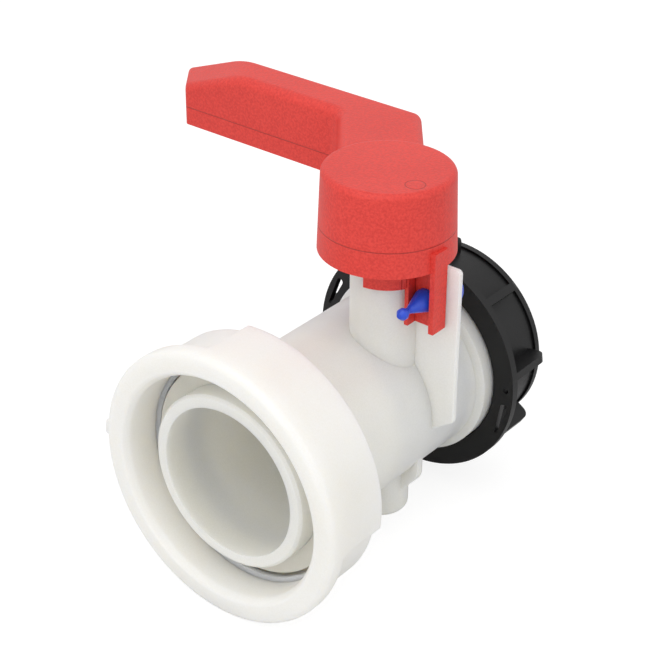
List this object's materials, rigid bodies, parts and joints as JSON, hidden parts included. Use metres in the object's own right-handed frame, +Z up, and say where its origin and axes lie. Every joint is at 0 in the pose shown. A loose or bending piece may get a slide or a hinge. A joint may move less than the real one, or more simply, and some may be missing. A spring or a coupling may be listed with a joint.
{
  "type": "ibc tank valve",
  "caption": "Plastic butterfly valve for a bulk container: union nut on the inlet, offset locking lever on a neck, seal pin, and a finned screw cap on the outlet",
  "frame": {"origin": "centre of the inlet pipe's end face, on the flow axis", "axes": "+Y along the flow from the tank to the outlet, +Z up along the stem towards the handle, +X to the right seen from the tank; stem axis at x 10.4 mm, y 65.8 mm"},
  "size_m": [0.1575, 0.1295, 0.1333],
  "materials": {
    "white_pe": "natural white moulded polyethylene",
    "nut_white": "white moulded polypropylene",
    "black_pe": "black moulded polyethylene, satin",
    "red_pp": "red moulded polypropylene, fine spark-eroded grain",
    "blue_pp": "blue moulded polypropylene",
    "stem_plastic": "white glass-filled plastic",
    "o_ring_rubber": "black rubber",
    "gasket_rubber": "cream rubber",
    "spring_steel": "stainless spring steel"
  },
  "bodies": {
    "valve": {"valve_body": "white_pe", "stem_bush": "stem_plastic", "seat_tank_side": "gasket_rubber", "seat_outlet_side": "gasket_rubber", "nut_retaining_ring": "stem_plastic", "inlet_gasket": "gasket_rubber", "seal_pin_head": "blue_pp"},
    "handle": {"handle": "red_pp", "stem": "stem_plastic", "stem_clip": "spring_steel", "butterfly_disc": "stem_plastic", "disc_pin": "spring_steel", "stem_o_ring_upper": "o_ring_rubber", "stem_o_ring_lower": "o_ring_rubber", "trunnion_o_ring": "o_ring_rubber", "seal_pin_barb": "blue_pp"},
    "nut": {"union_nut": "nut_white"},
    "liner": {"cap_liner": "gasket_rubber"},
    "cap": {"outlet_cap": "black_pe"}
  },
  "joints": [
    {"name": "handle_turn", "type": "hinge", "parent": "valve", "child": "handle", "pos_m": [0.0104, 0.0658, 0.06], "axis": [0, 0, -1], "range_deg": [0, 90]},
    {"name": "nut_turn", "type": "hinge", "parent": "valve", "child": "nut", "pos_m": [0, 0.0065, 0], "axis": [0, 1, 0], "continuous": true},
    {"name": "cap_travel", "type": "slide", "parent": "valve", "child": "liner", "axis": [0, 1, 0], "range_m": [0, 0.024]},
    {"name": "cap_turn", "type": "hinge", "parent": "liner", "child": "cap", "pos_m": [0, 0.11, 0], "axis": [0, 1, 0], "range_deg": [0, 1440]}
  ],
  "couplings": [
    {"joint": "cap_travel", "follows": "cap_turn", "m_per_rad": 0.00095493}
  ]
}
